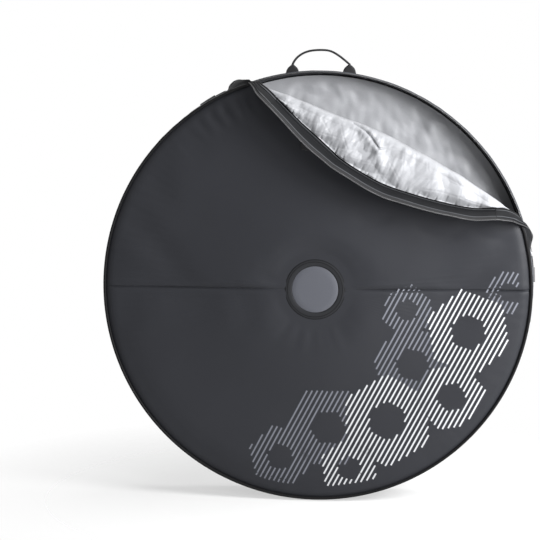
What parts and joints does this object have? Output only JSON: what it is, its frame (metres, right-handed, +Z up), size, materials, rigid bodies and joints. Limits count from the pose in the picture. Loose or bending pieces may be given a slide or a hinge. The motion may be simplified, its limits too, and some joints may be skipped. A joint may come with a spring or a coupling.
{
  "type": "bike wheel bag",
  "caption": "Round padded bag for one bicycle wheel, with a domed hub patch, a zipped gusset, two carrying handles and an upper corner that folds open.",
  "frame": {"origin": "middle of the small flat under the gusset, on which the bag stands", "axes": "+Z up, +Y from the open front towards the back along the wheel's axle, +X to the right seen from the front"},
  "size_m": [0.7628, 0.1974, 0.7971],
  "materials": {
    "cover_fabric": "woven polyester, matt with a soft sheen",
    "grey_foam": "closed-cell foam",
    "silver_lining": "thin coated silver-grey nylon, creased",
    "piping": "black tape over a cord",
    "gusset_fabric": "black woven polyester",
    "hub_ring_patch": "coated fabric ring",
    "hub_disc_patch": "smooth grey coated fabric",
    "stiffener_plastic": "plain sheet",
    "zip_tape": "woven tape",
    "zip_coil": "nylon coil",
    "slider_metal": "dark painted zinc",
    "pull_ring_metal": "bright wire",
    "pull_cord": "braided cord",
    "pull_sleeve_rubber": "matt moulded rubber",
    "handle_webbing": "ribbed webbing with box stitching"
  },
  "bodies": {
    "shell": {"back_panel_upper": "cover_fabric", "back_panel_lower": "cover_fabric", "back_foam": "grey_foam", "back_lining": "silver_lining", "back_piping": "piping", "back_hub_ring": "hub_ring_patch", "back_hub_disc": "hub_disc_patch", "back_hub_plate": "stiffener_plastic", "front_panel_upper": "cover_fabric", "front_panel_lower": "cover_fabric", "front_foam": "grey_foam", "front_lining": "silver_lining", "front_piping": "piping", "front_hub_ring": "hub_ring_patch", "front_hub_disc": "hub_disc_patch", "front_hub_plate": "stiffener_plastic", "gusset_bottom": "gusset_fabric", "gusset_rear": "gusset_fabric", "gusset_front_left": "gusset_fabric", "gusset_front_right": "gusset_fabric", "zip_tape_rear": "zip_tape", "zip_tape_front_left": "zip_tape", "zip_tape_front_right": "zip_tape", "zip_teeth_rear": "zip_coil", "zip_teeth_front_left": "zip_coil", "zip_teeth_front_right": "zip_coil", "zip_stop_left": "slider_metal", "zip_stop_right": "slider_metal", "rear_handle_anchor_left": "handle_webbing", "rear_handle_anchor_right": "handle_webbing", "flap_fold_cover": "cover_fabric", "flap_fold_lining": "silver_lining"},
    "flap": {"flap_panel": "cover_fabric", "flap_foam": "grey_foam", "flap_lining": "silver_lining", "flap_piping": "piping", "flap_gusset": "gusset_fabric", "flap_zip_tape": "zip_tape", "flap_zip_teeth": "zip_coil", "front_handle_anchor_left": "handle_webbing", "front_handle_anchor_right": "handle_webbing"},
    "front_handle": {"front_handle": "handle_webbing"},
    "rear_handle": {"rear_handle": "handle_webbing"},
    "slider_left": {"slider_left": "slider_metal"},
    "slider_right": {"slider_right": "slider_metal"},
    "pull_left": {"pull_ring_left": "pull_ring_metal", "pull_cord_left": "pull_cord", "pull_sleeve_left": "pull_sleeve_rubber"},
    "pull_right": {"pull_ring_right": "pull_ring_metal", "pull_cord_right": "pull_cord", "pull_sleeve_right": "pull_sleeve_rubber"}
  },
  "joints": [
    {"name": "flap_turn", "type": "hinge", "parent": "shell", "child": "flap", "pos_m": [0.13209, -0.064, 0.63432], "axis": [-0.8886, 0, 0.4586], "range_deg": [0, 180], "deforming": ["flap_fold_cover", "flap_fold_lining"]},
    {"name": "front_handle_turn", "type": "hinge", "parent": "flap", "child": "front_handle", "pos_m": [-0.05429, -0.063, 0.66392], "axis": [-0.5793, 0, 0.8151], "range_deg": [0, 180]},
    {"name": "rear_handle_turn", "type": "hinge", "parent": "shell", "child": "rear_handle", "pos_m": [0, 0.065, 0.7691], "axis": [-1, 0, 0], "range_deg": [-20, 170]},
    {"name": "slider_left_travel", "type": "hinge", "parent": "shell", "child": "slider_left", "pos_m": [0, 0, 0.3784], "axis": [0, 1, 0], "range_deg": [-63, 49]},
    {"name": "slider_right_travel", "type": "hinge", "parent": "shell", "child": "slider_right", "pos_m": [0, 0, 0.3784], "axis": [0, -1, 0], "range_deg": [-7, 49]},
    {"name": "pull_left_swing", "type": "hinge", "parent": "slider_left", "child": "pull_left", "pos_m": [-0.15462, 0, 0.72568], "axis": [0, 1, 0], "range_deg": [0, 100]},
    {"name": "pull_right_swing", "type": "hinge", "parent": "slider_right", "child": "pull_right", "pos_m": [0.37437, 0, 0.44441], "axis": [0, -1, 0], "range_deg": [0, 100]}
  ],
  "couplings": [
    {"joint": "front_handle_turn", "follows": "flap_turn", "ratio": 1}
  ]
}
